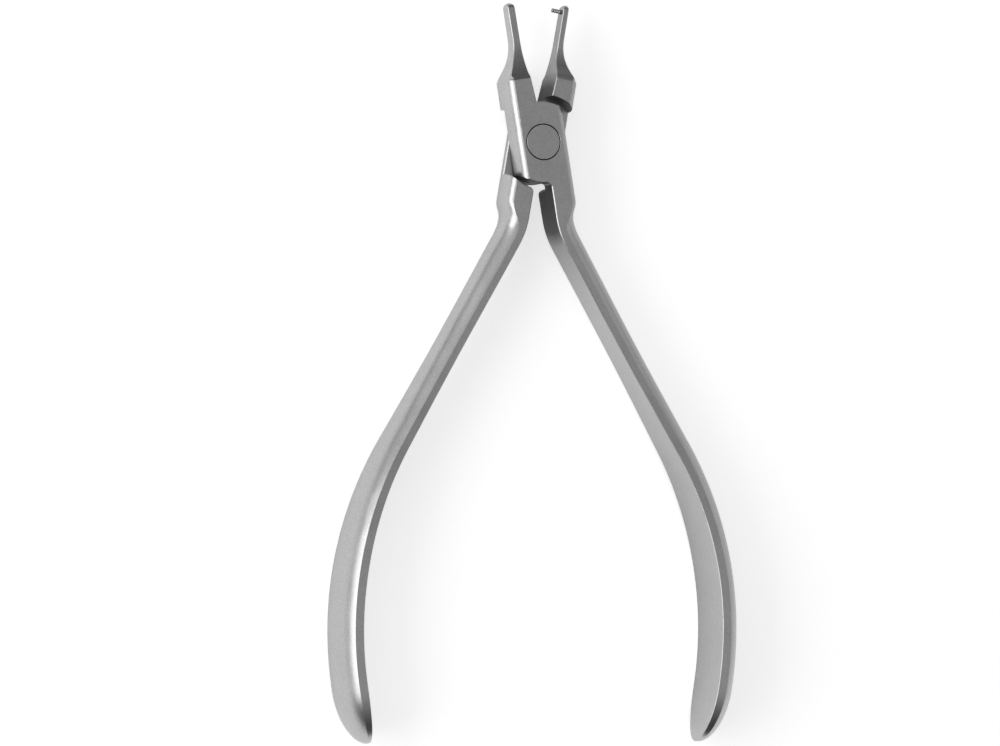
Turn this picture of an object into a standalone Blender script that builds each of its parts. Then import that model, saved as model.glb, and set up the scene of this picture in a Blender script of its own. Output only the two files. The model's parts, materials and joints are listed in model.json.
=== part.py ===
# Lap-joint dental pliers with a pin on one beak, lying on their back as on a tray.
# +Y points to the beaks and +Z out of the joint's front face. The pivot's axis is Z, and the
# joint's rear face lies at Z = 0. Each half is made in the pose in which the pliers are closed.

import math

import bmesh
import bpy
from mathutils import Matrix, Vector

MM = 0.001

# Joint block, measured with the pliers closed
BLOCK_WIDTH = 10.1 * MM
BLOCK_THICKNESS = 7.5 * MM
BLOCK_TOP = 11.35 * MM
BLOCK_BOTTOM = 11.0 * MM
BLOCK_CROWN = 0.5 * MM
BLOCK_CHAMFER_WIDTH = 0.95 * MM
BLOCK_CHAMFER_DROP = 0.85 * MM
LAP_RADIUS = 7.1 * MM
SHOULDER_CLEARANCE = 1.15 * MM
LAP_CLEARANCE = 0.2 * MM
JAW_CLEARANCE = 0.2 * MM
HANDLE_CLEARANCE = 0.6 * MM

# Beaks
BEAK_TIP = 24.9 * MM
BEAK_GAP = 1.1 * MM
BEAK_RELIEF_END = 12.3 * MM
FRONT_BEAK_WIDTH = 1.48 * MM
REAR_BEAK_WIDTH = 1.15 * MM
BEAK_TIP_DEPTH = 2.6 * MM
BEAK_NECK_DEPTH = 2.8 * MM
BEAK_FLARE_START = 18.5 * MM
BEAK_FLARE_POWER = 1.75
BEAK_TAPER_POWER = 2.2
BEAK_CORNER_SHARE = 0.86
BEAK_EDGE = 0.15 * MM
BEAK_CROWN = 0.15 * MM
BEAK_TIP_ROUND = 0.9 * MM

# Handles, along the inner face from the block's lower corner
HANDLE_NECK = 2.4 * MM
HANDLE_BEND_RADIUS = 15.0 * MM
HANDLE_SPLAY = math.radians(20.3)
HANDLE_STRAIGHT = 41.2 * MM
HANDLE_SWEEP_RADIUS = 62 * MM
HANDLE_SWEEP = math.radians(36.9)
HANDLE_TAIL_RADIUS = 82.0 * MM
HANDLE_TAIL = math.radians(8.65)
HANDLE_NECK_DEPTH = 7.4 * MM
HANDLE_NECK_THICKNESS = 4.05 * MM
HANDLE_GRIP_DEPTH = 12.0 * MM
HANDLE_SHANK_THICKNESS = 3.85 * MM
HANDLE_GRIP_THICKNESS = 4.3 * MM
HANDLE_STRIP = 1.3 * MM
HANDLE_NECK_BLEND = 5.5 * MM
HANDLE_SHOULDER_BLEND = 2.4 * MM
HANDLE_SLIM_END = 35.0 * MM
HANDLE_WIDEN_START = 24 * MM
HANDLE_WIDEN_END = 77 * MM
HANDLE_TIP_ROUND = 10.0 * MM

# Pivot screw
SCREW_HEAD_DIAMETER = 6.1 * MM
SCREW_HEAD_HEIGHT = 1.8 * MM
SCREW_SHANK_DIAMETER = 4.2 * MM
SCREW_CLEARANCE = 0.1 * MM
SCREW_EDGE = 0.08 * MM

# Pin on the rear half's beak, and its socket in the other beak
PIN_DIAMETER = 0.8 * MM
PIN_HEIGHT = 23.6 * MM
PIN_LENGTH = 1.8 * MM
PIN_RIB_PITCH = 0.42 * MM
PIN_RIB_DEPTH = 0.06 * MM
PIN_CLEARANCE = 0.05 * MM
SOCKET_CLEARANCE = 0.15 * MM

# How far the pliers stand open, as the angle between their halves
OPENING = math.radians(19.2)

SIDE_STEPS = 10
ROUND_STEPS = 64
HANDLE_STEP = 3.0 * MM
CUTTER_MARGIN = 2.0 * MM

HALF_WIDTH = BLOCK_WIDTH / 2
BLOCK_FLAT = HALF_WIDTH - BLOCK_CROWN - BLOCK_CHAMFER_WIDTH
SHOULDER_RADIUS = LAP_RADIUS + SHOULDER_CLEARANCE
HANDLE_START = HANDLE_CLEARANCE / 2


def lerp(a, b, t):
    return a + (b - a) * t


def smooth(t):
    t = min(max(t, 0.0), 1.0)
    return t * t * (3 - 2 * t)


def round_end(distance, radius):
    """The share of full size that an elliptical end has at this distance from its tip."""
    t = min(max(1 - distance / radius, 0.0), 1.0)
    return math.sqrt(1 - t * t)


class Side:
    """One side of a section: a chamfer and a crown, blended into one round arc."""

    def __init__(self, flat_end, chamfer=0.0, crown=0.0, roundness=0.0):
        self.flat_end = flat_end
        self.chamfer = chamfer
        self.crown = crown
        self.roundness = roundness

    def points(self, depth, drop, outward):
        half = depth / 2
        reach = self.chamfer + self.crown
        spread = 2 * math.atan2(reach, half)
        result = []
        for step in range(SIDE_STEPS + 1):
            angle = spread * (1 - 2 * step / SIDE_STEPS)
            if reach > 0:
                radius = half / math.sin(spread)
                oval = Vector((reach - radius * (1 - math.cos(angle)), radius * math.sin(angle)))
            else:
                oval = Vector((0, half * (1 - 2 * step / SIDE_STEPS)))
            if step in (0, SIDE_STEPS):
                square = oval
            else:
                across = 1 - 2 * (step - 1) / (SIDE_STEPS - 2)
                bulge = self.crown * (1 - across * across)
                square = Vector((self.chamfer + bulge, across * (half - drop)))
            point = square.lerp(oval, self.roundness)
            result.append((self.flat_end + outward * point.x, point.y))
        return result


class Section:
    """A closed outline across a half, with a flat front, a flat back and two shaped sides."""

    def __init__(self, origin, turn, depth, drop, left, right):
        self.origin = origin
        self.turn = turn
        self.depth = depth
        self.drop = drop
        self.left = left
        self.right = right

    def points(self):
        across = Vector((math.cos(self.turn), math.sin(self.turn), 0))
        right = self.right.points(self.depth, self.drop, 1)
        left = self.left.points(self.depth, self.drop, -1)
        outline = right + left[::-1]
        return [self.origin + across * u + Vector((0, 0, z)) for u, z in outline]


def beak_section(height, width):
    """A beak's section at this height over the pivot, with its inner face on the right."""
    flare = max((BEAK_FLARE_START - height) / (BEAK_FLARE_START - BLOCK_TOP), 0)
    lower = min(flare, 1)
    end = round_end(BEAK_TIP - height, BEAK_TIP_ROUND)
    neck_share = min((BEAK_TIP - height) / (BEAK_TIP - BEAK_FLARE_START), 1)
    depth = lerp(BEAK_TIP_DEPTH, BEAK_NECK_DEPTH, neck_share)
    depth = lerp(depth, BLOCK_THICKNESS, lower**BEAK_TAPER_POWER)
    relief = (BEAK_RELIEF_END - height) / (BEAK_RELIEF_END - BLOCK_TOP)
    inner = lerp(BEAK_GAP / 2, JAW_CLEARANCE / 2, min(max(relief, 0), 1))
    outer = lerp(BEAK_GAP / 2 + width, HALF_WIDTH, lower**BEAK_FLARE_POWER)
    middle = (BEAK_GAP + width) / 2
    inner = lerp(middle, inner, end)
    outer = lerp(middle, outer, end)
    corner = smooth((lower - BEAK_CORNER_SHARE) / (1 - BEAK_CORNER_SHARE))
    chamfer = lerp(BEAK_EDGE, BLOCK_CHAMFER_WIDTH, corner) * end
    crown = lerp(BEAK_CROWN, BLOCK_CROWN, smooth(lower)) * end
    drop = lerp(BEAK_EDGE, BLOCK_CHAMFER_DROP, corner) * end
    outer_side = Side(-(outer - chamfer - crown), chamfer, crown)
    origin = Vector((0, height, 0))
    return Section(origin, 0, depth * end, drop, outer_side, Side(-inner))


def block_section(height):
    """The joint block's full section."""
    left = Side(-BLOCK_FLAT, BLOCK_CHAMFER_WIDTH, BLOCK_CROWN)
    right = Side(BLOCK_FLAT, BLOCK_CHAMFER_WIDTH, BLOCK_CROWN)
    return Section(Vector((0, height, 0)), 0, BLOCK_THICKNESS, BLOCK_CHAMFER_DROP, left, right)


def handle_runs():
    """The straight and round stretches of a handle's inner face, as lengths and turns."""
    return (
        (HANDLE_NECK, 0.0),
        (HANDLE_BEND_RADIUS * HANDLE_SPLAY, HANDLE_SPLAY),
        (HANDLE_STRAIGHT, 0.0),
        (HANDLE_SWEEP_RADIUS * HANDLE_SWEEP, -HANDLE_SWEEP),
        (HANDLE_TAIL_RADIUS * HANDLE_TAIL, -HANDLE_TAIL),
    )


def handle_place(distance):
    """The point and the heading, from -Y towards +X, this far along a handle's inner face."""
    point = Vector((HANDLE_START, -BLOCK_BOTTOM, 0))
    heading = 0.0
    for length, turn in handle_runs():
        walked = min(distance, length)
        turned = turn * walked / length
        chord = walked if turn == 0 else 2 * length / turn * math.sin(turned / 2)
        middle = heading + turned / 2
        point += Vector((math.sin(middle), -math.cos(middle), 0)) * chord
        heading += turned
        distance -= walked
        if distance <= 0:
            break
    return point, heading


def handle_section(distance, length):
    """A handle's section, with its flat inner face on the left."""
    point, heading = handle_place(distance)
    shoulder = smooth(distance / HANDLE_SHOULDER_BLEND)
    neck = smooth(distance / HANDLE_NECK_BLEND)
    grip = smooth((distance - HANDLE_WIDEN_START) / (HANDLE_WIDEN_END - HANDLE_WIDEN_START))
    end = round_end(length - distance, HANDLE_TIP_ROUND)
    depth = lerp(BLOCK_THICKNESS, HANDLE_NECK_DEPTH, shoulder)
    depth = lerp(depth, HANDLE_GRIP_DEPTH, grip) * end
    slim = smooth(distance / HANDLE_SLIM_END)
    thickness = lerp(HANDLE_NECK_THICKNESS, HANDLE_SHANK_THICKNESS, slim)
    thickness = lerp(thickness, HANDLE_GRIP_THICKNESS, grip)
    thickness = lerp(HALF_WIDTH - HANDLE_START, thickness, shoulder) * end
    strip = lerp(BLOCK_FLAT - HANDLE_START, HANDLE_STRIP, neck) * end
    reach = thickness - strip
    chamfer_share = BLOCK_CHAMFER_WIDTH / (BLOCK_CHAMFER_WIDTH + BLOCK_CROWN)
    right = Side(strip, reach * chamfer_share, reach * (1 - chamfer_share), neck)
    drop = BLOCK_CHAMFER_DROP * end
    return Section(point, heading, depth, drop, Side(0.0), right)


def half_sections(beak_width):
    """Every section of one half, from its beak's tip to its handle's tip."""
    tip_heights = [BEAK_TIP - BEAK_TIP_ROUND * share for share in (0.03, 0.15, 0.4, 0.7, 1)]
    beak_steps = 14
    beak_run = tip_heights[-1] - BLOCK_TOP
    heights = tip_heights + [
        tip_heights[-1] - beak_run * step / beak_steps for step in range(1, beak_steps + 1)
    ]
    sections = [beak_section(height, beak_width) for height in heights]
    sections += [block_section(LAP_RADIUS), block_section(-LAP_RADIUS)]
    length = sum(run for run, _ in handle_runs())
    blend_steps = 8
    distances = [HANDLE_NECK_BLEND * step / blend_steps for step in range(blend_steps)]
    body_end = length - HANDLE_TIP_ROUND
    body_steps = math.ceil((body_end - HANDLE_NECK_BLEND) / HANDLE_STEP)
    distances += [
        lerp(HANDLE_NECK_BLEND, body_end, step / body_steps) for step in range(body_steps + 1)
    ]
    distances += [
        length - HANDLE_TIP_ROUND * share for share in (0.75, 0.5, 0.3, 0.15, 0.05, 0.01)
    ]
    sections += [handle_section(distance, length) for distance in distances]
    return sections


def make_material(name, color, roughness):
    material = bpy.data.materials.new(name)
    material.use_nodes = True
    shader = material.node_tree.nodes["Principled BSDF"]
    shader.inputs["Base Color"].default_value = (*color, 1)
    shader.inputs["Metallic"].default_value = 1.0
    shader.inputs["Roughness"].default_value = roughness
    return material


def add_object(name, mesh_data, collection, parent=None):
    obj = bpy.data.objects.new(name, mesh_data)
    obj.parent = parent
    collection.objects.link(obj)
    return obj


def finish_mesh(name, bm):
    bmesh.ops.recalc_face_normals(bm, faces=bm.faces)
    mesh = bpy.data.meshes.new(name)
    bm.to_mesh(mesh)
    bm.free()
    return mesh


def loft_mesh(name, sections):
    """The closed surface through these sections, with a flat face on each end."""
    bm = bmesh.new()
    rings = [[bm.verts.new(point) for point in section.points()] for section in sections]
    for ring, after in zip(rings, rings[1:]):
        for index in range(len(ring)):
            following = (index + 1) % len(ring)
            bm.faces.new((ring[index], ring[following], after[following], after[index]))
    bm.faces.new(rings[0])
    bm.faces.new(rings[-1])
    return finish_mesh(name, bm)


def cylinder_mesh(name, radius, bottom, top, steps=ROUND_STEPS):
    bm = bmesh.new()
    bmesh.ops.create_cone(
        bm, cap_ends=True, segments=steps, radius1=radius, radius2=radius, depth=top - bottom
    )
    bmesh.ops.translate(bm, verts=bm.verts, vec=(0, 0, (bottom + top) / 2))
    return finish_mesh(name, bm)


def slab_mesh(name, outline, bottom, top):
    """A flat outline in X and Y, with straight walls from bottom to top."""
    bm = bmesh.new()
    face = bm.faces.new([bm.verts.new((x, y, bottom)) for x, y in outline])
    walls = bmesh.ops.extrude_face_region(bm, geom=[face])
    raised = [item for item in walls["geom"] if isinstance(item, bmesh.types.BMVert)]
    bmesh.ops.translate(bm, verts=raised, vec=(0, 0, top - bottom))
    return finish_mesh(name, bm)


def add_cutter(name, mesh, body, collection):
    """A helper that is subtracted from the body and moves with it."""
    cutter = add_object(name, mesh, collection, body)
    cutter.hide_render = True
    cutter.display_type = "WIRE"
    subtract(body, cutter)
    return cutter


def subtract(body, cutter):
    modifier = body.modifiers.new("Cut " + cutter.name, "BOOLEAN")
    modifier.operation = "DIFFERENCE"
    modifier.solver = "EXACT"
    modifier.object = cutter


def cut_lap(half, cutters):
    """Mills away what the other half's plate and shoulders turn through."""
    name = half.name
    reach = HANDLE_GRIP_DEPTH
    pocket = cylinder_mesh("pocket", SHOULDER_RADIUS, -reach, LAP_CLEARANCE / 2)
    add_cutter(name + "_lap_pocket", pocket, half, cutters)
    side = BLOCK_WIDTH
    jaw_outline = (
        (-JAW_CLEARANCE / 2, 0),
        (side, 0),
        (side, BEAK_RELIEF_END),
        (-BEAK_GAP / 2, BEAK_RELIEF_END),
        (-JAW_CLEARANCE / 2, LAP_RADIUS),
    )
    handle_outline = (
        (HANDLE_START, 0),
        (HANDLE_START, -BLOCK_BOTTOM),
        (-side, -BLOCK_BOTTOM),
        (-side, 0),
    )
    for place, outline in (("jaw", jaw_outline), ("handle", handle_outline)):
        notch = slab_mesh(place + "_notch", outline, -reach, reach)
        cutter = add_cutter(f"{name}_{place}_notch", notch, half, cutters)
        disc = cylinder_mesh("disc", LAP_RADIUS, -reach - CUTTER_MARGIN, reach + CUTTER_MARGIN)
        add_cutter(f"{name}_{place}_disc", disc, cutter, cutters)


def make_half(name, beak_width, material, collection, cutters, parent):
    mesh = loft_mesh(name, half_sections(beak_width))
    mesh.materials.append(material)
    half = add_object(name, mesh, collection, parent)
    cut_lap(half, cutters)
    return half


def turned_mesh(name, profile):
    """A profile of radii and heights, from the top down its outer side."""
    mesh = bpy.data.meshes.new(name)
    points = [(radius, 0, height) for radius, height in profile]
    mesh.from_pydata(points, [(i, i + 1) for i in range(len(points) - 1)], [])
    return mesh


def add_turned(name, profile, steps, material, collection, parent):
    mesh = turned_mesh(name, profile)
    mesh.materials.append(material)
    obj = add_object(name, mesh, collection, parent)
    screw = obj.modifiers.new("Turn", "SCREW")
    screw.steps = steps
    screw.render_steps = steps
    screw.use_merge_vertices = True
    screw.merge_threshold = 0.00001
    return obj


def screw_profile():
    head = SCREW_HEAD_DIAMETER / 2
    shank = SCREW_SHANK_DIAMETER / 2
    top = BLOCK_THICKNESS
    under = top - SCREW_HEAD_HEIGHT
    return (
        (0, top),
        (head - SCREW_EDGE, top),
        (head, top - SCREW_EDGE),
        (head, under),
        (shank, under),
        (shank, SCREW_EDGE),
        (shank - SCREW_EDGE, 0),
        (0, 0),
    )


def pin_profile(root):
    """The pin from its rounded end down to its root inside the beak, with ribs on its free part."""
    radius = PIN_DIAMETER / 2
    dome_steps = 4
    profile = []
    for step in range(dome_steps + 1):
        angle = math.pi / 2 * step / dome_steps
        dome = radius * 0.6
        profile.append((radius * math.sin(angle), PIN_LENGTH - dome + dome * math.cos(angle)))
    height = PIN_LENGTH - radius * 0.6
    while height - PIN_RIB_PITCH > 0:
        profile.append((radius - PIN_RIB_DEPTH, height - PIN_RIB_PITCH / 2))
        profile.append((radius, height - PIN_RIB_PITCH))
        height -= PIN_RIB_PITCH
    profile.append((radius, -root))
    profile.append((0, -root))
    return profile


def bore(half, name, diameter, bottom, top, cutters):
    mesh = cylinder_mesh(name, diameter / 2, bottom, top)
    add_cutter(f"{half.name}_{name}", mesh, half, cutters)


def cross_bore(half, name, diameter, inner, outer, height, cutters):
    """A round hole along X through the beak of this half."""
    mesh = cylinder_mesh(name, diameter / 2, inner, outer, ROUND_STEPS // 2)
    mesh.transform(Matrix.Rotation(math.radians(90), 4, "Y"))
    mesh.transform(Matrix.Translation((0, height, 0)))
    add_cutter(f"{half.name}_{name}", mesh, half, cutters)


def add_swing(name, angle, collection):
    """An empty on the pivot's axis at mid thickness, which a half turns with."""
    swing = add_object(name, None, collection)
    swing.location = (0, 0, BLOCK_THICKNESS / 2)
    swing.rotation_euler = (0, 0, angle)
    return swing


def main():
    for obj in list(bpy.data.objects):
        bpy.data.objects.remove(obj)
    scene_root = bpy.context.scene.collection
    pliers = bpy.data.collections.new("dental_pliers")
    cutters = bpy.data.collections.new("cutters")
    scene_root.children.link(pliers)
    scene_root.children.link(cutters)

    steel = make_material("satin_steel", (0.62, 0.63, 0.64), 0.28)
    pin_steel = make_material("hard_steel", (0.55, 0.56, 0.57), 0.22)
    front_swing = add_swing("front_swing", OPENING / 2, pliers)
    rear_swing = add_swing("rear_swing", -OPENING / 2, pliers)

    front = make_half("front_half", FRONT_BEAK_WIDTH, steel, pliers, cutters, front_swing)
    rear = make_half("rear_half", REAR_BEAK_WIDTH, steel, pliers, cutters, rear_swing)
    rear.rotation_euler = (0, math.pi, 0)

    past = BLOCK_THICKNESS / 2 + CUTTER_MARGIN
    shank_bore = SCREW_SHANK_DIAMETER + 2 * SCREW_CLEARANCE
    head_bore = SCREW_HEAD_DIAMETER + 2 * SCREW_CLEARANCE
    head_seat = BLOCK_THICKNESS / 2 - SCREW_HEAD_HEIGHT - SCREW_CLEARANCE
    bore(front, "shank_bore", shank_bore, -past, past, cutters)
    bore(front, "head_bore", head_bore, head_seat, past, cutters)
    bore(rear, "shank_bore", shank_bore, -past, past, cutters)

    beak_outer = BEAK_GAP / 2 + REAR_BEAK_WIDTH
    pin_bore = PIN_DIAMETER + 2 * PIN_CLEARANCE
    cross_bore(rear, "pin_bore", pin_bore, -beak_outer - CUTTER_MARGIN, 0, PIN_HEIGHT, cutters)
    socket = PIN_DIAMETER + 2 * SOCKET_CLEARANCE
    socket_floor = PIN_LENGTH - BEAK_GAP / 2 + SOCKET_CLEARANCE
    cross_bore(front, "pin_socket", socket, -socket_floor, 0, PIN_HEIGHT, cutters)

    screw = add_turned("pivot_screw", screw_profile(), ROUND_STEPS, steel, pliers, rear_swing)
    screw.location = (0, 0, -BLOCK_THICKNESS / 2)
    pin_root = REAR_BEAK_WIDTH - BEAK_CROWN
    pin = add_turned("tip_pin", pin_profile(pin_root), ROUND_STEPS // 2, pin_steel, pliers, rear_swing)
    pin.location = (BEAK_GAP / 2, PIN_HEIGHT, 0)
    pin.rotation_euler = (0, -math.pi / 2, 0)


main()
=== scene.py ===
# Lap-joint dental pliers: fine surfaces, steel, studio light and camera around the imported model
import json
import math

import bmesh
import bpy
from mathutils import Matrix, Vector


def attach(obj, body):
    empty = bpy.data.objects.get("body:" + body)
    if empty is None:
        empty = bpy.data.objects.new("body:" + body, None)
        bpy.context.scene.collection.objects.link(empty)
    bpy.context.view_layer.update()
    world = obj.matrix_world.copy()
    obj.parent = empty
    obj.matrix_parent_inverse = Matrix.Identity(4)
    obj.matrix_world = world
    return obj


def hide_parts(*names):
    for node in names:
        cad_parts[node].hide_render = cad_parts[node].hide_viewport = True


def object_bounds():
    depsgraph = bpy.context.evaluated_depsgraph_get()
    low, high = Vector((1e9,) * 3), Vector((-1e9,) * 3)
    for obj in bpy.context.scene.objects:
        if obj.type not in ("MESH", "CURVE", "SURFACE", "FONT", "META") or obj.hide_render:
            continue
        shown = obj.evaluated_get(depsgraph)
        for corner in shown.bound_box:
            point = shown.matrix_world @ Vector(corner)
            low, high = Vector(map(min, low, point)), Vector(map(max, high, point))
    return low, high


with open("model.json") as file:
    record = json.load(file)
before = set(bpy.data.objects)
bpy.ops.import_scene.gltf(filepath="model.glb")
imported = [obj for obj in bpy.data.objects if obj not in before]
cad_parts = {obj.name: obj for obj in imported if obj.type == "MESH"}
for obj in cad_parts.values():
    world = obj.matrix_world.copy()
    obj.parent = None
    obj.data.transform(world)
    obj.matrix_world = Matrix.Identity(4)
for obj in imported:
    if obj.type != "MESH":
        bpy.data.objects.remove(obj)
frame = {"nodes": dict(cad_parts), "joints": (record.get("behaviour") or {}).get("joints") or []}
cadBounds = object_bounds()
mm = 0.001
print("frame loaded:", ", ".join(frame["nodes"]))

pivot = frame["joints"][0]
pivotPlace = Vector(pivot["pos_m"])
openAngle = math.radians(-pivot["range_deg"][0])  # from closed to how the pliers stand at rest
turnOver = Matrix.Rotation(math.pi, 4, "Y")  # the rear half is the front half's shape, turned over
frontPlace = Matrix.Translation(pivotPlace) @ Matrix.Rotation(openAngle / 2, 4, "Z")
rearPlace = Matrix.Translation(pivotPlace) @ Matrix.Rotation(-openAngle / 2, 4, "Z")

# All lengths in these dictionaries are in millimetres and all angles in degrees,
# measured on a half in the closed pose, with the pivot at its origin
joint = {
    "width": 10.1,
    "thickness": 7.5,
    "top": 11.35,  # corner where the beak begins
    "bottom": 11.0,  # corner where the handle begins
    "crown": 0.5,
    "chamferWidth": 0.95,
    "chamferDrop": 0.85,
    "plateRadius": 7.1,
    "shoulderRadius": 8.25,
    "lapGap": 0.2,
    "jawGap": 0.2,
    "handleGap": 0.6,
    "edgeBreak": 0.14,
    "shoulderCorner": 1.0,  # rounded corner of the handle block beside the plate
    "plateCorner": 0.7,  # hollow corner between the plate and the handle's inner face
}
beak = {
    "tip": 24.9,
    "gap": 1.1,
    "reliefEnd": 12.3,
    "frontWidth": 1.48,
    "rearWidth": 1.15,
    "tipDepth": 2.6,
    "neckDepth": 2.8,
    "flareStart": 18.5,
    "flarePower": 1.75,
    "taperPower": 2.2,
    "backPower": 2.0,
    "cornerShare": 0.86,
    "edge": 0.15,
    "innerEdgeShare": 0.7,  # of the joint's edge break, along the inner face
    "crown": 0.15,
    "tipRound": 0.9,
    "steps": 60,
    "tipSteps": 12,
    "firstTipStep": 0.35,  # where the first ring lies, as a share of a step
}
handle = {
    "neck": 2.4,
    "bendRadius": 15.0,
    "splay": 20.3,
    "straight": 41.2,
    "sweepRadius": 62.0,
    "sweep": 36.9,
    "tailRadius": 82.0,
    "tail": 8.65,
    "neckDepth": 7.4,
    "neckThickness": 4.05,
    "gripDepth": 12.0,
    "shankThickness": 3.85,
    "gripThickness": 4.3,
    "strip": 1.3,
    "gripStrip": 1.55,
    "neckBlend": 5.5,
    "shoulderBlend": 2.4,
    "slimEnd": 35.0,
    "widenStart": 24.0,
    "widenEnd": 77.0,
    "tipRound": 10.0,
    "tipSteps": 26,
    "gripEdge": 0.06,
    "step": 0.7,
    "fineShare": 0.35,  # of that step, beside the joint
}
surface = {
    "sideSteps": 40,
    "cornerSteps": 6,  # of these, on each chamfer
    "cornerBulge": 0.07,  # how round a chamfer is, as a share of its width
    "roundSteps": 192,
    "pinSteps": 64,
    "hollowSteps": 12,
    "roundingSteps": 16,
    "sharpAngle": 9.0,
    "normalWeight": 80,
}
# How far the cutting shapes stand past what they cut, in millimetres
cutter = {
    "past": 1.0,
    "far": 3.0,
    "overlap": 0.5,
    "shoulderOverlap": 0.4,
    "plateSideShare": 1.3,  # of the edge break
    "plateSideSlack": 0.06,
    "lapSlack": 0.02,
}


def mix(a, b, t):
    return a + (b - a) * t


def smooth(t):
    t = min(max(t, 0.0), 1.0)
    return t * t * (3 - 2 * t)


def roundEnd(distance, radius):
    t = min(max(1 - distance / radius, 0.0), 1.0)
    return math.sqrt(1 - t * t)


def roundedCorner(start, end, bulge, steps):
    # points from start to end along a shallow arc, without the last one
    middle = [(a + b) / 2 for a, b in zip(start, end)]
    normal = (start[1] - end[1], end[0] - start[0])
    points = []
    for step in range(steps):
        t = step / steps
        rise = bulge * 4 * t * (1 - t)
        points.append(tuple(mix(a, b, t) + rise * n for a, b, n in zip(start, end, normal)))
    return points


def shapedSide(flatEnd, depth, drop, outward, chamfer=0.0, crown=0.0, roundness=0.0):
    # from the front flat's end round to the back flat's end; each point is (across, up)
    half = depth / 2
    reach = chamfer + crown
    spread = 2 * math.atan2(reach, half)
    steps, cornerSteps = surface["sideSteps"], surface["cornerSteps"]
    corner = roundedCorner((0, half), (chamfer, half - drop), surface["cornerBulge"], cornerSteps)
    wallSteps = steps - 2 * cornerSteps
    wall = []
    for step in range(wallSteps + 1):
        along = 1 - 2 * step / wallSteps
        wall.append((chamfer + crown * (1 - along * along), along * (half - drop)))
    outline = corner + wall + [(x, -z) for x, z in reversed(corner)]
    points = []
    for step, square in enumerate(outline):
        angle = spread * (1 - 2 * step / steps)
        radius = half / math.sin(spread)
        oval = (reach - radius * (1 - math.cos(angle)), radius * math.sin(angle))
        blended = [mix(a, b, roundness) for a, b in zip(square, oval)]
        points.append((flatEnd + outward * blended[0], blended[1]))
    return points


def plainSide(flatEnd, depth, edge, outward):
    # a flat face with a narrow chamfer along each edge
    steps = surface["sideSteps"]
    half = depth / 2
    points = []
    for step in range(steps + 1):
        if step in (0, steps):
            points.append((flatEnd - outward * edge, half if step == 0 else -half))
        else:
            along = 1 - 2 * (step - 1) / (steps - 2)
            points.append((flatEnd, along * (half - edge)))
    return points


def placeRing(origin, heading, right, left):
    across = Vector((math.cos(heading), math.sin(heading), 0))
    outline = right + left[::-1]
    return [(origin + across * u + Vector((0, 0, z))) * mm for u, z in outline]


def beakRing(height, width):
    flare = min(max((beak["flareStart"] - height) / (beak["flareStart"] - joint["top"]), 0), 1)
    end = roundEnd(beak["tip"] - height, beak["tipRound"])
    neckShare = min((beak["tip"] - height) / (beak["tip"] - beak["flareStart"]), 1)
    depth = mix(beak["tipDepth"], beak["neckDepth"], neckShare)
    frontHalfDepth = mix(depth, joint["thickness"], flare ** beak["taperPower"]) * end / 2
    backHalfDepth = mix(depth, joint["thickness"], smooth(flare ** beak["backPower"])) * end / 2
    relief = (beak["reliefEnd"] - height) / (beak["reliefEnd"] - joint["top"])
    middle = (beak["gap"] + width) / 2
    inner = mix(beak["gap"] / 2, joint["jawGap"] / 2, min(max(relief, 0), 1))
    inner = mix(middle, inner, end)
    outer = mix(beak["gap"] / 2 + width, joint["width"] / 2, flare ** beak["flarePower"])
    outer = mix(middle, outer, end)
    blend = smooth(flare)
    corner = smooth((flare - beak["cornerShare"]) / (1 - beak["cornerShare"]))
    chamfer = mix(beak["edge"], joint["chamferWidth"], corner) * end
    crown = mix(beak["crown"], joint["crown"], blend) * end
    drop = mix(beak["edge"], joint["chamferDrop"], corner) * end
    flatEnd = -(outer - chamfer - crown)
    left = shapedSide(flatEnd, 2 * frontHalfDepth, drop, -1, chamfer, crown)
    edge = joint["edgeBreak"] * beak["innerEdgeShare"]
    right = plainSide(-inner, 2 * frontHalfDepth, edge * end, 1)
    for outline in (left, right):
        for index, (across, up) in enumerate(outline):
            if up < 0:
                outline[index] = (across, up * backHalfDepth / frontHalfDepth)
    return placeRing(Vector((0, height, 0)), 0, right, left)


def blockRing(height):
    flat = joint["width"] / 2 - joint["crown"] - joint["chamferWidth"]
    sides = []
    for outward in (1, -1):
        sides.append(shapedSide(
            outward * flat, joint["thickness"], joint["chamferDrop"], outward,
            joint["chamferWidth"], joint["crown"],
        ))
    return placeRing(Vector((0, height, 0)), 0, *sides)


def handleRuns():
    bend, sweep, tail = (math.radians(handle[name]) for name in ("splay", "sweep", "tail"))
    return (
        (handle["neck"], 0.0),
        (handle["bendRadius"] * bend, bend),
        (handle["straight"], 0.0),
        (handle["sweepRadius"] * sweep, -sweep),
        (handle["tailRadius"] * tail, -tail),
    )


def handlePlace(distance):
    point = Vector((joint["handleGap"] / 2, -joint["bottom"], 0))
    heading = 0.0
    for length, turn in handleRuns():
        walked = min(distance, length)
        turned = turn * walked / length
        chord = walked if turn == 0 else 2 * length / turn * math.sin(turned / 2)
        middle = heading + turned / 2
        point += Vector((math.sin(middle), -math.cos(middle), 0)) * chord
        heading += turned
        distance -= walked
        if distance <= 0:
            break
    return point, heading


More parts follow.
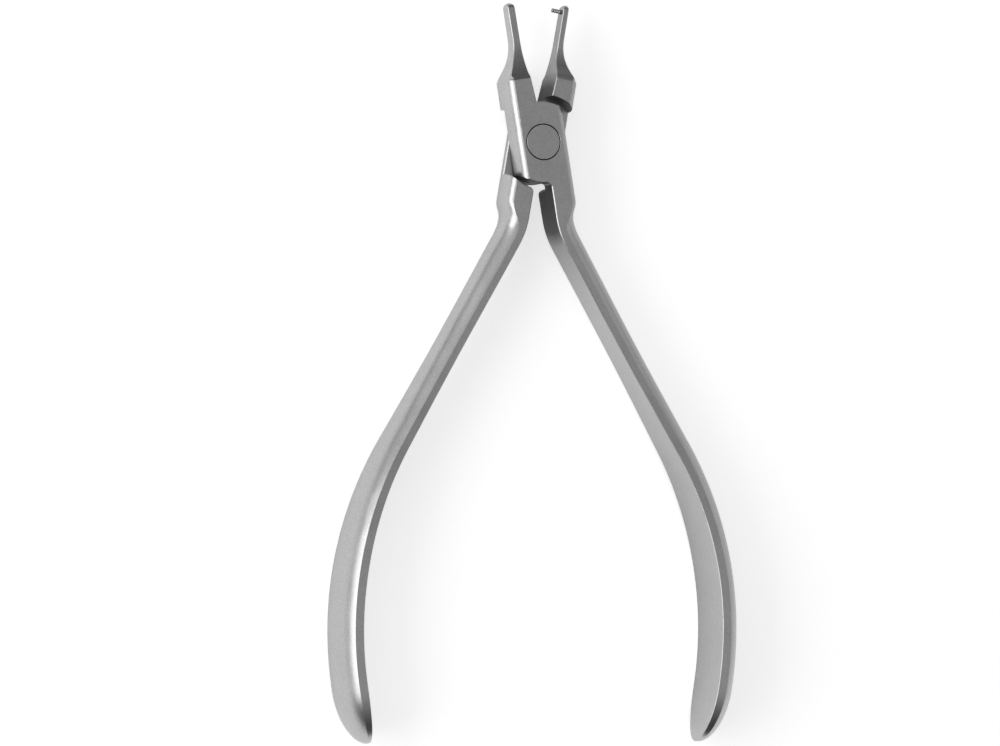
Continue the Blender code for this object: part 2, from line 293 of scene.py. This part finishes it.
def handleRing(distance, length):
    point, heading = handlePlace(distance)
    shoulder = smooth(distance / handle["shoulderBlend"])
    neck = smooth(distance / handle["neckBlend"])
    slim = smooth(distance / handle["slimEnd"])
    widenRun = handle["widenEnd"] - handle["widenStart"]
    grip = smooth((distance - handle["widenStart"]) / widenRun)
    end = roundEnd(length - distance, handle["tipRound"])
    depth = mix(joint["thickness"], handle["neckDepth"], shoulder)
    depth = mix(depth, handle["gripDepth"], grip) * end
    thickness = mix(handle["neckThickness"], handle["shankThickness"], slim)
    thickness = mix(thickness, handle["gripThickness"], grip)
    fullWidth = joint["width"] / 2 - joint["handleGap"] / 2
    thickness = mix(fullWidth, thickness, shoulder) * end
    blockFlat = fullWidth - joint["crown"] - joint["chamferWidth"]
    strip = mix(blockFlat, mix(handle["strip"], handle["gripStrip"], grip), neck) * end
    reach = thickness - strip
    chamferShare = joint["chamferWidth"] / (joint["chamferWidth"] + joint["crown"])
    right = shapedSide(
        strip, depth, joint["chamferDrop"] * end, 1,
        reach * chamferShare, reach * (1 - chamferShare), neck,
    )
    left = plainSide(0.0, depth, mix(joint["edgeBreak"], handle["gripEdge"], grip) * end, -1)
    return placeRing(point, heading, right, left)


def halfRings(beakWidth):
    tipSteps = beak["tipSteps"]
    turns = [math.pi / 2 * (step + beak["firstTipStep"]) / tipSteps for step in range(tipSteps)]
    shares = [1 - math.cos(turn) for turn in turns]
    heights = [beak["tip"] - beak["tipRound"] * share for share in shares]
    run = beak["tip"] - beak["tipRound"] - joint["top"]
    steps = beak["steps"]
    heights += [beak["tip"] - beak["tipRound"] - run * step / steps for step in range(steps + 1)]
    rings = [beakRing(height, beakWidth) for height in heights]
    rings += [blockRing(joint["plateRadius"]), blockRing(-joint["plateRadius"])]
    length = sum(run for run, turn in handleRuns())
    bodyEnd = length - handle["tipRound"]
    blendSteps = math.ceil(handle["neckBlend"] / (handle["step"] * handle["fineShare"]))
    distances = [handle["neckBlend"] * step / blendSteps for step in range(blendSteps)]
    bodySteps = math.ceil((bodyEnd - handle["neckBlend"]) / handle["step"])
    distances += [mix(handle["neckBlend"], bodyEnd, step / bodySteps) for step in range(bodySteps)]
    endSteps = handle["tipSteps"]
    distances += [
        length - handle["tipRound"] * (1 - math.sin(math.pi / 2 * step / endSteps))
        for step in range(endSteps)
    ]
    rings += [handleRing(distance, length) for distance in distances]
    return rings


def closedMesh(name, bm):
    bmesh.ops.recalc_face_normals(bm, faces=bm.faces)
    mesh = bpy.data.meshes.new(name)
    bm.to_mesh(mesh)
    bm.free()
    return mesh


def fixedNormals(mesh):
    bm = bmesh.new()
    bm.from_mesh(mesh)
    bmesh.ops.recalc_face_normals(bm, faces=bm.faces)
    bm.to_mesh(mesh)
    bm.free()
    return mesh


def loftMesh(name, rings):
    bm = bmesh.new()
    loops = [[bm.verts.new(point) for point in ring] for ring in rings]
    for loop, after in zip(loops, loops[1:]):
        for index in range(len(loop)):
            following = (index + 1) % len(loop)
            bm.faces.new((loop[index], loop[following], after[following], after[index]))
    bm.faces.new(loops[0])
    bm.faces.new(loops[-1])
    return closedMesh(name, bm)


def turnedMesh(name, profile, steps):
    # profile is a list of (radius, height) from one end on the axis to the other
    bm = bmesh.new()
    loops = []
    for radius, height in profile:
        if radius == 0:
            loops.append([bm.verts.new((0, 0, height * mm))])
            continue
        loops.append([
            bm.verts.new((
                radius * mm * math.cos(2 * math.pi * step / steps),
                radius * mm * math.sin(2 * math.pi * step / steps),
                height * mm,
            ))
            for step in range(steps)
        ])
    for loop, after in zip(loops, loops[1:]):
        for step in range(steps):
            following = (step + 1) % steps
            corners = [loop[step % len(loop)], loop[following % len(loop)]]
            corners += [after[following % len(after)], after[step % len(after)]]
            bm.faces.new(list(dict.fromkeys(corners)))
    return closedMesh(name, bm)


def slabMesh(name, layers):
    # layers are (height, outline) pairs whose outlines have the same number of points
    bm = bmesh.new()
    loops = [[bm.verts.new((x * mm, y * mm, z * mm)) for x, y in outline] for z, outline in layers]
    for loop, after in zip(loops, loops[1:]):
        for index in range(len(loop)):
            following = (index + 1) % len(loop)
            bm.faces.new((loop[index], loop[following], after[following], after[index]))
    bm.faces.new(loops[0])
    bm.faces.new(loops[-1])
    return closedMesh(name, bm)


def addPiece(name, mesh, place=None):
    piece = bpy.data.objects.new(name, mesh)
    bpy.context.scene.collection.objects.link(piece)
    if place is not None:
        mesh.transform(place)
    return piece


def carve(piece, tools):
    # subtracts each tool mesh and leaves the result in the piece's own mesh
    helpers = [addPiece("tool", mesh) for mesh in tools]
    for helper in helpers:
        cut = piece.modifiers.new("Cut", "BOOLEAN")
        cut.operation = "DIFFERENCE"
        cut.solver = "EXACT"
        cut.object = helper
    bpy.context.view_layer.update()
    graph = bpy.context.evaluated_depsgraph_get()
    result = bpy.data.meshes.new_from_object(piece.evaluated_get(graph))
    piece.modifiers.clear()
    old = piece.data
    piece.data = result
    bpy.data.meshes.remove(old)
    for helper in helpers:
        mesh = helper.data
        bpy.data.objects.remove(helper)
        bpy.data.meshes.remove(mesh)
    return piece


def smoothShade(piece):
    piece.data.shade_smooth()
    piece.data.set_sharp_from_angle(angle=math.radians(surface["sharpAngle"]))
    weights = piece.modifiers.new("Even normals", "WEIGHTED_NORMAL")
    weights.keep_sharp = True
    weights.weight = surface["normalWeight"]


def arcPoints(center, radius, start, end, steps):
    # the short way round from the start point to the end point
    first = math.atan2(start[1] - center[1], start[0] - center[0])
    last = math.atan2(end[1] - center[1], end[0] - center[0])
    sweep = (last - first + math.pi) % (2 * math.pi) - math.pi
    angles = [first + sweep * step / steps for step in range(steps + 1)]
    return [(center[0] + radius * math.cos(a), center[1] + radius * math.sin(a)) for a in angles]


def pocketTool():
    # what the other half's plate turns in, with a broken edge at the back face
    half = joint["thickness"] / 2
    radius, edge = joint["shoulderRadius"], joint["edgeBreak"]
    lap, past = joint["lapGap"] / 2, cutter["past"]
    return turnedMesh("pocket", [
        (0, lap), (radius, lap), (radius, edge - half),
        (radius + past + edge, -half - past), (0, -half - past),
    ], surface["roundSteps"])


def plateKeep():
    # the plate's disc, with broken edges at the front face and at the lap
    half = joint["thickness"] / 2
    radius, edge = joint["plateRadius"], joint["edgeBreak"]
    lap, past, far = joint["lapGap"] / 2, cutter["past"], cutter["far"]
    return turnedMesh("keep", [
        (0, half + past), (radius - edge - past, half + past), (radius, half - edge),
        (radius, lap + edge), (radius - edge, lap), (radius - edge, -half - far), (0, -half - far),
    ], surface["roundSteps"])


def plateCornerKeep(side):
    # the hollow corner between the plate's edge and the handle block's inner face
    radius, plate = joint["plateCorner"], joint["plateRadius"]
    center = (side - radius, -math.sqrt((plate + radius) ** 2 - (side - radius) ** 2))
    onPlate = tuple(value * plate / (plate + radius) for value in center)
    outline = arcPoints(center, radius, onPlate, (side, center[1]), surface["hollowSteps"])
    overlap, past = cutter["overlap"], cutter["past"]
    outline += [
        (side + overlap, center[1]), (side + overlap, overlap - plate), (onPlate[0], overlap - plate),
    ]
    half = joint["thickness"] / 2
    return slabMesh("corner", [(-half - past, outline), (half + past, outline)])


def plateSideTool(outward):
    # breaks the edge between the plate's side and the lap
    size = joint["edgeBreak"] * cutter["plateSideShare"]
    side, lap = joint["width"] / 2, joint["lapGap"] / 2
    reach = math.sqrt(joint["shoulderRadius"] ** 2 - side ** 2) - cutter["plateSideSlack"]
    overlap, past = cutter["overlap"], cutter["past"]
    outline = [
        (side - size, lap), (side + overlap, lap + size + overlap),
        (side + overlap, lap - past), (side - size, lap - past),
    ]
    mesh = slabMesh("plate side", [(-reach, outline), (reach, outline)])
    # the outline was drawn in X and Z, so its Y and Z change places
    mesh.transform(Matrix(((outward, 0, 0, 0), (0, 0, 1, 0), (0, 1, 0, 0), (0, 0, 0, 1))))
    return fixedNormals(mesh)


def notchTool(name, sidePoints, away, keeps):
    # a full-depth slab beside an inner face, flared at both faces to break its edges
    half = joint["thickness"] / 2
    edge, far = joint["edgeBreak"], cutter["far"]
    reach = joint["width"] * away
    layers = []
    for height, shift in (
        (-half - far, edge + far), (-half + edge, 0), (half - edge, 0), (half + far, edge + far),
    ):
        outline = [(x - shift * away, y) for x, y in sidePoints]
        outline += [(reach, sidePoints[-1][1]), (reach, sidePoints[0][1])]
        layers.append((height, outline))
    piece = carve(addPiece(name, slabMesh(name, layers)), keeps)
    mesh = piece.data
    bpy.data.objects.remove(piece)
    return mesh


def shoulderCornerTool(side):
    # rounds the handle block's corner in the layer where the other half's plate turns
    radius, shoulder = joint["shoulderCorner"], joint["shoulderRadius"]
    center = (side + radius, -math.sqrt((shoulder + radius) ** 2 - (side + radius) ** 2))
    onArc = tuple(value * shoulder / (shoulder + radius) for value in center)
    outline = arcPoints(center, radius, (side, center[1]), onArc, surface["roundingSteps"])
    overlap = cutter["shoulderOverlap"]
    outline += [
        (onArc[0], overlap - shoulder), (side - overlap, overlap - shoulder),
        (side - overlap, center[1]),
    ]
    lowest = -joint["thickness"] / 2 - cutter["past"]
    return slabMesh("shoulder", [
        (lowest, outline), (joint["lapGap"] / 2 - cutter["lapSlack"], outline),
    ])


def boreTool(radius, bottom, top, edge):
    # a round hole that breaks its own edge at the height of the top
    past = cutter["past"]
    return turnedMesh("bore", [
        (0, top + past), (radius + edge + past, top + past), (radius, top - edge),
        (radius, bottom), (0, bottom),
    ], surface["roundSteps"])


def sidewaysTool(radius, inner, outer, height):
    # a round hole across the beak at this height, from the inner to the outer depth
    profile = [(0, outer), (radius, outer), (radius, inner), (0, inner)]
    mesh = turnedMesh("side bore", profile, surface["pinSteps"])
    mesh.transform(Matrix.Rotation(math.radians(90), 4, "Y"))
    mesh.transform(Matrix.Translation((0, height * mm, 0)))
    return mesh


pivotScrew = {
    "headDiameter": 6.04,
    "headHeight": 1.8,
    "shankDiameter": 4.2,
    "clearance": 0.17,
    "edge": 0.03,
}
tipPin = {
    "diameter": 0.8,
    "height": 23.6,
    "length": 1.8,
    "ribPitch": 0.42,
    "ribDepth": 0.1,
    "clearance": 0.05,
    "socketClearance": 0.15,
    "domeShare": 0.6,
    "domeSteps": 10,
    "ribSteps": 8,
}


def makeHalf(name, beakWidth, place, extraTools):
    piece = addPiece(name, loftMesh(name, halfRings(beakWidth)))
    side = joint["handleGap"] / 2
    jawSide = [
        (-joint["jawGap"] / 2, 0), (-joint["jawGap"] / 2, joint["plateRadius"]),
        (-beak["gap"] / 2, beak["reliefEnd"]),
    ]
    handleSide = [(side, -joint["bottom"]), (side, 0)]
    tools = [
        pocketTool(),
        notchTool("jaw notch", jawSide, 1, [plateKeep()]),
        notchTool("handle notch", handleSide, -1, [plateKeep(), plateCornerKeep(side)]),
        shoulderCornerTool(side),
        plateSideTool(1),
        plateSideTool(-1),
    ]
    carve(piece, tools + extraTools)
    piece.data.transform(place)
    smoothShade(piece)
    print(name, "carved:", len(piece.data.polygons), "faces")
    return piece


def frontTools():
    half = joint["thickness"] / 2
    gap, edge = pivotScrew["clearance"], pivotScrew["edge"]
    socketRadius = tipPin["diameter"] / 2 + tipPin["socketClearance"]
    socketFloor = tipPin["length"] - beak["gap"] / 2 + tipPin["socketClearance"]
    return [
        boreTool(pivotScrew["shankDiameter"] / 2 + gap, -half - cutter["past"], half, edge),
        boreTool(
            pivotScrew["headDiameter"] / 2 + gap, half - pivotScrew["headHeight"] - gap, half, edge
        ),
        sidewaysTool(socketRadius, -socketFloor, 0, tipPin["height"]),
    ]


def rearTools():
    half = joint["thickness"] / 2
    radius = pivotScrew["shankDiameter"] / 2 + pivotScrew["clearance"]
    pinRadius = tipPin["diameter"] / 2 + tipPin["clearance"]
    beakOuter = beak["gap"] / 2 + beak["rearWidth"]
    return [
        boreTool(radius, -half - cutter["past"], half, pivotScrew["edge"]),
        sidewaysTool(pinRadius, -beakOuter - cutter["past"], 0, tipPin["height"]),
    ]


def makeScrew():
    half = joint["thickness"] / 2
    head, shank = pivotScrew["headDiameter"] / 2, pivotScrew["shankDiameter"] / 2
    edge = pivotScrew["edge"]
    under = half - pivotScrew["headHeight"]
    profile = [
        (0, half), (head - edge, half), (head, half - edge), (head, under), (shank, under),
        (shank, edge - half), (shank - edge, -half), (0, -half),
    ]
    mesh = turnedMesh("pivotScrewFine", profile, surface["roundSteps"])
    piece = addPiece("pivotScrewFine", mesh, rearPlace)
    smoothShade(piece)
    return piece


def makePin():
    radius = tipPin["diameter"] / 2
    dome = radius * tipPin["domeShare"]
    domeSteps, ribSteps = tipPin["domeSteps"], tipPin["ribSteps"]
    profile = [(0, tipPin["length"])]
    for step in range(1, domeSteps + 1):
        angle = math.pi / 2 * step / domeSteps
        profile.append((radius * math.sin(angle), tipPin["length"] - dome + dome * math.cos(angle)))
    height = tipPin["length"] - dome
    while height - tipPin["ribPitch"] > 0:
        for step in range(1, ribSteps + 1):
            wave = (1 - math.cos(2 * math.pi * step / ribSteps)) / 2
            profile.append((
                radius - tipPin["ribDepth"] * wave, height - tipPin["ribPitch"] * step / ribSteps
            ))
        height -= tipPin["ribPitch"]
    root = beak["rearWidth"] - beak["crown"]
    profile += [(radius, -root), (0, -root)]
    place = rearPlace @ Matrix.Translation((beak["gap"] / 2 * mm, tipPin["height"] * mm, 0))
    place = place @ Matrix.Rotation(-math.pi / 2, 4, "Y")
    piece = addPiece("tipPinFine", turnedMesh("tipPinFine", profile, surface["pinSteps"]), place)
    smoothShade(piece)
    return piece


steel = {
    "color": (0.50, 0.50, 0.50),
    # painted shade: the base colour darkens towards this in crevices and on the inner faces beside
    # the joint
    "paintedShadeColor": (0.11, 0.11, 0.11),
    "occlusionShadeReach": 3.0,  # mm
    "occlusionShadeLevels": (0.12, 0.5),  # how open a place is where the painted shade is darkest, and where it is clear
    "shadedFaceCenter": (0.0, -3.0, 3.75),  # mm; middle of the painted shade on the inner faces
    "shadedFaceReach": (13.0, 15.8),  # mm; where that painted shade ends
    "shadedFaceFacing": (-0.93, -0.78),  # how squarely such a face turns inward or along the pliers
    "roughness": 0.30,
    "roughnessSpread": 0.05,
    "grainSize": 0.32,  # mm
    "grainDepth": 0.011,  # mm
    "grainShare": 0.09,
    "grainLevels": (0.3, 0.7),
    "grainDetail": 3.0,
    "cloudSize": 6.0,  # mm
    "cloudShare": 0.08,
    "cloudDetail": 4.0,
    "waveSize": 5.0,  # mm, left by the polishing belt
    "waveDepth": 0.09,  # mm
}
occlusionSamples = 6
pinFinish = {
    "color": (0.36, 0.36, 0.36),
    "roughness": 0.22,
}


def addNode(tree, kind, inputs=None, **settings):
    # each input is a plain value, or another node's output to link
    node = tree.nodes.new("ShaderNode" + kind)
    for name, value in settings.items():
        setattr(node, name, value)
    for socket, value in (inputs or {}).items():
        if isinstance(value, bpy.types.NodeSocket):
            tree.links.new(value, node.inputs[socket])
        else:
            node.inputs[socket].default_value = value
    return node


def addMath(tree, operation, first, second=0.0):
    return addNode(tree, "Math", {0: first, 1: second}, operation=operation).outputs["Value"]


def addRange(tree, value, source=(0.0, 1.0), result=(0.0, 1.0)):
    return addNode(tree, "MapRange", {
        "Value": value, "From Min": source[0], "From Max": source[1],
        "To Min": result[0], "To Max": result[1],
    }).outputs["Result"]


def addNoise(tree, place, size, detail):
    return addNode(tree, "TexNoise", {
        "Vector": place.outputs["Object"], "Scale": 1 / (size * mm), "Detail": detail,
    }).outputs["Fac"]


def around(middle, spread):
    return (middle - spread, middle + spread)


def makeSteel(name, color, roughness):
    material = bpy.data.materials.new(name)
    material.use_nodes = True
    tree = material.node_tree
    shader = tree.nodes["Principled BSDF"]
    shader.inputs["Metallic"].default_value = 1.0
    place = addNode(tree, "TexCoord")
    cloud = addNoise(tree, place, steel["cloudSize"], steel["cloudDetail"])
    grain = addNoise(tree, place, steel["grainSize"], steel["grainDetail"])
    wave = addNoise(tree, place, steel["waveSize"], 0.0)
    tone = addRange(tree, cloud, result=around(1, steel["cloudShare"]))
    speckle = addRange(tree, grain, steel["grainLevels"], around(1, steel["grainShare"]))
    mottle = addMath(tree, "MULTIPLY", tone, speckle)
    tint = addNode(tree, "VectorMath", {0: color, "Scale": mottle}, operation="SCALE")

    # painted shade: narrow places, such as round the lap joint, are darkened in the base colour where
    # ambient occlusion finds them shut in
    reach = steel["occlusionShadeReach"] * mm
    openness = addNode(tree, "AmbientOcclusion", {"Distance": reach}, samples=occlusionSamples)
    clear = addRange(tree, openness.outputs["AO"], steel["occlusionShadeLevels"])

    # painted shade: the inner and end faces beside the joint are darkened in the base colour too
    parts = addNode(tree, "SeparateXYZ", {"Vector": place.outputs["Object"]})
    facing = addNode(tree, "SeparateXYZ", {"Vector": place.outputs["Normal"]})
    side = addMath(tree, "SIGN", parts.outputs["X"])
    inward = addMath(tree, "MULTIPLY", side, facing.outputs["X"])
    endways = addMath(tree, "MULTIPLY", addMath(tree, "ABSOLUTE", facing.outputs["Y"]), -1.0)
    outer = addRange(tree, addMath(tree, "MINIMUM", inward, endways), steel["shadedFaceFacing"])
    middle = [value * mm for value in steel["shadedFaceCenter"]]
    away = addNode(tree, "VectorMath", {0: place.outputs["Object"], 1: middle}, operation="DISTANCE")
    ends = [value * mm for value in steel["shadedFaceReach"]]
    beyond = addRange(tree, away.outputs["Value"], ends)
    bright = addMath(tree, "MULTIPLY", clear, addMath(tree, "MAXIMUM", outer, beyond))
    # painted shade mixed into the steel's base colour
    paintedShadeTint = addNode(tree, "Mix", {
        "Factor": bright, "A": (*steel["paintedShadeColor"], 1), "B": tint.outputs["Vector"],
    }, data_type="RGBA")

    polish = addRange(tree, cloud, result=around(roughness, steel["roughnessSpread"]))
    swell = addNode(tree, "Bump", {"Distance": steel["waveDepth"] * mm, "Height": wave})
    bump = addNode(tree, "Bump", {
        "Distance": steel["grainDepth"] * mm, "Height": grain, "Normal": swell.outputs["Normal"],
    })
    tree.links.new(paintedShadeTint.outputs["Result"], shader.inputs["Base Color"])
    tree.links.new(polish, shader.inputs["Roughness"])
    tree.links.new(bump.outputs["Normal"], shader.inputs["Normal"])
    return material


studio = {
    # how bright the studio is from the grips' end, over the pliers, to the beaks' end
    "skyLevels": ((-1.0, 0.05), (-0.7, 0.07), (-0.35, 0.30), (-0.05, 0.56), (0.04, 0.53),
                  (0.12, 0.36), (0.3, 0.28), (0.7, 0.18), (1.0, 0.07)),
    "floorColor": (0.93, 0.93, 0.93),
    "floorGlow": 0.60,  # added where the camera or the metal sees the floor
    "floorShade": 0.015,  # metres; how far the painted shadow of the pliers keeps that glow off the floor they cover
    "shadeLevels": (0.3, 0.8),  # how open the floor is where that glow starts, and where it is full
    "floorSize": 4.0,  # metres
    "dimHeading": 29.0,  # degrees; which way the floor grows dim for the metal
    "dimStart": 2.0,  # mm
    "dimEnd": 12.0,  # mm
    "mirroredShare": 0.88,  # of the glow, that the metal sees before that line
    "dimShare": 0.4,  # of the glow, that it sees beyond
    "lampAim": (0.0, -0.04, 0.0),  # metres
}
lamps = {
    "left softbox": {"lean": -60.0, "distance": 0.9, "width": 0.5, "length": 0.84, "watts": 2.9},
    "upper fill": {
        "lean": -38.0, "tilt": 33.0, "distance": 0.9, "width": 0.8, "length": 0.6, "watts": 0.8,
    },
    "low left fill": {
        "lean": -80.0, "tilt": 36.0, "distance": 0.9, "width": 0.35, "length": 0.55, "watts": 0.15,
    },
    "right fill": {
        "lean": 66.0, "tilt": 24.0, "distance": 0.9, "width": 0.5, "length": 0.7, "watts": 0.32,
    },
}


def makeFloor(lowest):
    bm = bmesh.new()
    bmesh.ops.create_grid(bm, x_segments=1, y_segments=1, size=studio["floorSize"] / 2)
    floor = addPiece("studioFloor", closedMesh("studioFloor", bm))
    floor.location = (0, 0, lowest)
    material = bpy.data.materials.new("paperFloor")
    material.use_nodes = True
    tree = material.node_tree
    shader = tree.nodes["Principled BSDF"]
    shader.inputs["Base Color"].default_value = (*studio["floorColor"], 1)
    shader.inputs["Roughness"].default_value = 1.0
    shader.inputs["Specular IOR Level"].default_value = 0.0
    shader.inputs["Emission Color"].default_value = (1, 1, 1, 1)
    seen = addNode(tree, "LightPath")
    # painted shadow: the glow the metal sees fades where the pliers cover the floor
    reach = studio["floorShade"]
    covered = addNode(tree, "AmbientOcclusion", {"Distance": reach}, samples=occlusionSamples)
    uncovered = addRange(tree, covered.outputs["AO"], studio["shadeLevels"])

    # painted reflection: the metal sees a dimmer floor beyond a line along the right handle
    place = addNode(tree, "TexCoord")
    heading = math.radians(studio["dimHeading"])
    direction = (math.cos(heading), math.sin(heading), 0)
    rightward = addNode(
        tree, "VectorMath", {0: place.outputs["Object"], 1: direction}, operation="DOT_PRODUCT"
    )
    ends = (studio["dimStart"] * mm, studio["dimEnd"] * mm)
    near = addRange(
        tree, rightward.outputs["Value"], ends, (studio["mirroredShare"], studio["dimShare"])
    )
    shaded = addMath(tree, "MULTIPLY", uncovered, near)
    mirrored = addMath(tree, "MULTIPLY", seen.outputs["Is Glossy Ray"], shaded)
    direct = addMath(
        tree, "MAXIMUM", seen.outputs["Is Camera Ray"], seen.outputs["Is Transmission Ray"]
    )
    either = addMath(tree, "MAXIMUM", direct, mirrored)
    glow = addMath(tree, "MULTIPLY", either, studio["floorGlow"])
    tree.links.new(glow, shader.inputs["Emission Strength"])
    floor.data.materials.append(material)


def makeWorld():
    world = bpy.data.worlds.new("studioWorld")
    bpy.context.scene.world = world
    world.use_nodes = True
    tree = world.node_tree
    place = addNode(tree, "TexCoord")
    parts = addNode(tree, "SeparateXYZ", {"Vector": place.outputs["Generated"]})
    along = addRange(tree, parts.outputs["Y"], (-1.0, 1.0))
    ramp = addNode(tree, "ValToRGB", {"Fac": along})
    stops = ramp.color_ramp.elements
    stops.remove(stops[1])
    for index, (side, level) in enumerate(studio["skyLevels"]):
        stop = stops[0] if index == 0 else stops.new((side + 1) / 2)
        stop.position = (side + 1) / 2
        stop.color = (level, level, level, 1)
    tree.links.new(ramp.outputs["Color"], tree.nodes["Background"].inputs["Color"])


def makeLamps():
    aim = Vector(studio["lampAim"])
    for name, lamp in lamps.items():
        data = bpy.data.lights.new(name, "AREA")
        data.shape = "RECTANGLE"
        data.size = lamp["width"]
        data.size_y = lamp["length"]
        data.energy = lamp["watts"]
        light = bpy.data.objects.new(name, data)
        lean = math.radians(lamp["lean"])
        tilt = math.radians(lamp.get("tilt", 0.0))
        direction = Vector((
            math.sin(lean) * math.cos(tilt), math.sin(tilt), math.cos(lean) * math.cos(tilt),
        ))
        light.location = aim + direction * lamp["distance"]
        across = Vector((0, 1, 0)).cross(direction).normalized()
        up = direction.cross(across)
        light.rotation_euler = Matrix((across, up, direction)).transposed().to_euler()
        bpy.context.scene.collection.objects.link(light)


cameraView = {
    "turn": 20.02,  # degrees to the left of straight on
    "rise": 2.10,  # degrees looking up towards the beaks
    "roll": 0.25,
    "distance": 0.959,  # metres
    "aim": (0.0, -0.04, 0.00375),
    "aimPixel": (535.2, 372.15),
    "pixelSize": 0.1745,  # millimetres at the aim
    "imageSize": (1000, 746),
    "sensor": 36.0,
    "clipStart": 0.01,
}


def makeCamera():
    turn, rise, roll = (math.radians(cameraView[name]) for name in ("turn", "rise", "roll"))
    forward = Vector((
        math.sin(turn) * math.cos(rise), math.sin(rise), -math.cos(turn) * math.cos(rise),
    ))
    level = forward.cross(Vector((0, 1, 0))).normalized()
    upward = level.cross(forward)
    across = level * math.cos(roll) + upward * math.sin(roll)
    upward = upward * math.cos(roll) - level * math.sin(roll)
    data = bpy.data.cameras.new("photoCamera")
    camera = bpy.data.objects.new("photoCamera", data)
    camera.location = Vector(cameraView["aim"]) - forward * cameraView["distance"]
    camera.rotation_euler = Matrix((across, upward, -forward)).transposed().to_euler()
    width, height = cameraView["imageSize"]
    focalPixels = cameraView["distance"] / (cameraView["pixelSize"] * mm)
    data.sensor_width = cameraView["sensor"]
    data.lens = focalPixels * cameraView["sensor"] / width
    data.shift_x = (width / 2 - cameraView["aimPixel"][0]) / width
    data.shift_y = (cameraView["aimPixel"][1] - height / 2) / width
    data.clip_start = cameraView["clipStart"]
    bpy.context.scene.collection.objects.link(camera)
    bpy.context.scene.camera = camera


bpy.context.scene.view_settings.view_transform = "Standard"
makeCamera()
makeWorld()
makeLamps()
makeFloor(cadBounds[0][2])
print("camera, lamps and floor are in place")

satinSteel = makeSteel("satinSteel", steel["color"], steel["roughness"])
pinSteel = makeSteel("pinSteel", pinFinish["color"], pinFinish["roughness"])

frontHalf = makeHalf("frontHalfFine", beak["frontWidth"], frontPlace, frontTools())
rearHalf = makeHalf("rearHalfFine", beak["rearWidth"], rearPlace @ turnOver, rearTools())
screw = makeScrew()
pin = makePin()
for piece, node, body, material, slot in (
    (frontHalf, "front_half", "front_body", satinSteel, "satin_steel"),
    (rearHalf, "rear_half", "rear_body", satinSteel, "satin_steel"),
    (screw, "pivot_screw", "rear_body", satinSteel, "satin_steel"),
    (pin, "tip_pin", "rear_body", pinSteel, "hard_steel"),
):
    piece.data.materials.clear()
    piece.data.materials.append(material)
    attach(piece, body)
    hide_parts(node)
print("halves, screw and pin are dressed")
